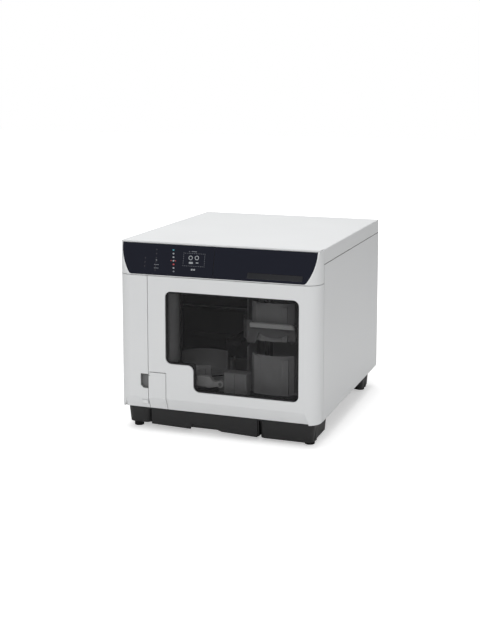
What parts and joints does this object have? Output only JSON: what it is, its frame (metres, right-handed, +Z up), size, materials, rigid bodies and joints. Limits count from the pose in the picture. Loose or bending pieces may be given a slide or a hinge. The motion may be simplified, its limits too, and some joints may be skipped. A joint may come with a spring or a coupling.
{
  "type": "disc label printer",
  "caption": "Desktop disc burner and label printer with a windowed door, ink cover, disc drawer, stackers, disc arm, drives and printer tray.",
  "frame": {"origin": "on the floor under the middle of the whole object", "axes": "+Z up, front door faces -Y, +X to the viewer's right as one faces the door"},
  "size_m": [0.377, 0.465, 0.348],
  "materials": {
    "white": "satin white moulded plastic",
    "panel_grey": "satin light grey paint",
    "gloss_black": "high gloss blue-black plastic",
    "lights": "clear light pipes",
    "smoked_glass": "smoked clear plastic",
    "black_plastic": "fine-textured black",
    "grey_plastic": "dark grey",
    "rubber": "matte",
    "steel": "zinc-plated sheet",
    "bright_steel": "ground steel",
    "drive_metal": "plain metal case",
    "circuit_board": "green circuit board",
    "ink_1": "moulded",
    "ink_2": "moulded",
    "ink_3": "moulded",
    "ink_4": "moulded",
    "ink_5": "moulded",
    "ink_6": "moulded"
  },
  "bodies": {
    "cabinet": {"arm_column": "bright_steel", "base_moulding": "black_plastic", "carriage_rod": "bright_steel", "chassis_floor": "steel", "column_mount": "steel", "control_band_left": "gloss_black", "control_band_right": "gloss_black", "control_board": "circuit_board", "deck": "black_plastic", "drawer_rails": "steel", "drive_1_case": "drive_metal", "drive_2_case": "drive_metal", "drive_cage": "steel", "fan_frame": "black_plastic", "feet": "rubber", "front_frame": "white", "hinge_pins": "bright_steel", "indicator_lights": "lights", "ink_bay": "black_plastic", "inner_partition": "steel", "left_side_panel": "white", "lift_motor": "drive_metal", "power_inlet": "black_plastic", "power_supply": "drive_metal", "printer_case": "black_plastic", "rear_hood": "panel_grey", "rear_panel": "panel_grey", "right_side_panel": "white", "sensor_housing": "black_plastic", "stacker_carrier": "black_plastic", "top_cover": "white", "usb_socket": "steel"},
    "door": {"door_shell": "white", "door_window": "smoked_glass"},
    "flap": {"door_flap": "white"},
    "ink_door": {"ink_cover": "white"},
    "cover_release": {"cover_button": "white"},
    "disc_drawer": {"drawer": "black_plastic"},
    "bin_1": {"stacker_1": "grey_plastic"},
    "bin_2": {"stacker_2": "grey_plastic"},
    "bin_3": {"stacker_3": "grey_plastic"},
    "lever": {"lock_lever": "grey_plastic"},
    "lift": {"arm_carriage": "black_plastic"},
    "arm": {"disc_arm": "grey_plastic"},
    "finger_1": {"gripper_finger_1": "grey_plastic"},
    "finger_2": {"gripper_finger_2": "grey_plastic"},
    "finger_3": {"gripper_finger_3": "grey_plastic"},
    "screw": {"lead_screw": "bright_steel"},
    "tray_1": {"drive_1_tray": "black_plastic"},
    "tray_2": {"drive_2_tray": "black_plastic"},
    "tray_printer": {"printer_tray": "black_plastic"},
    "print_head": {"print_carriage": "grey_plastic"},
    "fan": {"fan_impeller": "black_plastic"},
    "rocker": {"power_rocker": "black_plastic"},
    "ink_1": {"ink_cartridge_1": "ink_1"},
    "ink_2": {"ink_cartridge_2": "ink_2"},
    "ink_3": {"ink_cartridge_3": "ink_3"},
    "ink_4": {"ink_cartridge_4": "ink_4"},
    "ink_5": {"ink_cartridge_5": "ink_5"},
    "ink_6": {"ink_cartridge_6": "ink_6"}
  },
  "joints": [
    {"name": "door_hinge", "type": "hinge", "parent": "cabinet", "child": "door", "pos_m": [0.172, -0.2155, 0.17], "axis": [0, 0, 1], "range_deg": [0, 105]},
    {"name": "flap_hinge", "type": "hinge", "parent": "door", "child": "flap", "pos_m": [-0.112, -0.23, 0.1085], "axis": [-1, 0, 0], "range_deg": [0, 60]},
    {"name": "ink_cover_hinge", "type": "hinge", "parent": "cabinet", "child": "ink_door", "pos_m": [-0.172, -0.2155, 0.17], "axis": [0, 0, -1], "range_deg": [0, 95]},
    {"name": "cover_button_press", "type": "slide", "parent": "ink_door", "child": "cover_release", "axis": [0, 1, 0], "range_m": [0, 0.0015], "stiffness_N_per_m": 300},
    {"name": "drawer_slide", "type": "slide", "parent": "cabinet", "child": "disc_drawer", "axis": [0, -1, 0], "range_m": [0, 0.145]},
    {"name": "bin_1_lift", "type": "slide", "parent": "cabinet", "child": "bin_1", "axis": [0, 0, 1], "range_m": [0, 0.01]},
    {"name": "bin_2_lift", "type": "slide", "parent": "cabinet", "child": "bin_2", "axis": [0, 0, 1], "range_m": [0, 0.008]},
    {"name": "bin_3_lift", "type": "slide", "parent": "cabinet", "child": "bin_3", "axis": [0, 0, 1], "range_m": [0, 0.008]},
    {"name": "lever_pivot", "type": "hinge", "parent": "cabinet", "child": "lever", "pos_m": [0, -0.2035, 0.094], "axis": [0, 1, 0], "range_deg": [0, 35]},
    {"name": "arm_lift", "type": "slide", "parent": "cabinet", "child": "lift", "axis": [0, 0, 1], "range_m": [-0.068, 0.097]},
    {"name": "arm_swing", "type": "hinge", "parent": "lift", "child": "arm", "pos_m": [0.011, -0.0605, 0.165], "axis": [0, 0, 1], "range_deg": [-49.43, 49.43]},
    {"name": "finger_1_spread", "type": "slide", "parent": "arm", "child": "finger_1", "axis": [0, 1, 0], "range_m": [0, 0.0012]},
    {"name": "finger_2_spread", "type": "slide", "parent": "arm", "child": "finger_2", "axis": [-0.866, -0.5, 0], "range_m": [0, 0.0012]},
    {"name": "finger_3_spread", "type": "slide", "parent": "arm", "child": "finger_3", "axis": [0.866, -0.5, 0], "range_m": [0, 0.0012]},
    {"name": "screw_turn", "type": "hinge", "parent": "cabinet", "child": "screw", "pos_m": [0.035, -0.0485, 0.1], "axis": [0, 0, 1], "range_deg": [-1225, 1747]},
    {"name": "tray_1_slide", "type": "slide", "parent": "cabinet", "child": "tray_1", "axis": [0, -1, 0], "range_m": [0, 0.15064]},
    {"name": "tray_2_slide", "type": "slide", "parent": "cabinet", "child": "tray_2", "axis": [0, -1, 0], "range_m": [0, 0.15064]},
    {"name": "printer_tray_slide", "type": "slide", "parent": "cabinet", "child": "tray_printer", "axis": [0, -1, 0], "range_m": [0, 0.15064]},
    {"name": "print_head_slide", "type": "slide", "parent": "cabinet", "child": "print_head", "axis": [1, 0, 0], "range_m": [-0.041, 0.041]},
    {"name": "fan_spin", "type": "hinge", "parent": "cabinet", "child": "fan", "pos_m": [0.092, 0.1975, 0.224], "axis": [0, 1, 0], "continuous": true},
    {"name": "rocker_tilt", "type": "hinge", "parent": "cabinet", "child": "rocker", "pos_m": [0.15, 0.2095, 0.102], "axis": [1, 0, 0], "range_deg": [-16, 0]},
    {"name": "ink_1_slide", "type": "slide", "parent": "cabinet", "child": "ink_1", "axis": [0, -1, 0], "range_m": [0, 0.012]},
    {"name": "ink_2_slide", "type": "slide", "parent": "cabinet", "child": "ink_2", "axis": [0, -1, 0], "range_m": [0, 0.012]},
    {"name": "ink_3_slide", "type": "slide", "parent": "cabinet", "child": "ink_3", "axis": [0, -1, 0], "range_m": [0, 0.012]},
    {"name": "ink_4_slide", "type": "slide", "parent": "cabinet", "child": "ink_4", "axis": [0, -1, 0], "range_m": [0, 0.012]},
    {"name": "ink_5_slide", "type": "slide", "parent": "cabinet", "child": "ink_5", "axis": [0, -1, 0], "range_m": [0, 0.012]},
    {"name": "ink_6_slide", "type": "slide", "parent": "cabinet", "child": "ink_6", "axis": [0, -1, 0], "range_m": [0, 0.012]}
  ],
  "couplings": [
    {"joint": "screw_turn", "follows": "arm_lift", "rad_per_m": 314.16},
    {"joint": "finger_2_spread", "follows": "finger_1_spread", "ratio": 1},
    {"joint": "finger_3_spread", "follows": "finger_1_spread", "ratio": 1}
  ]
}
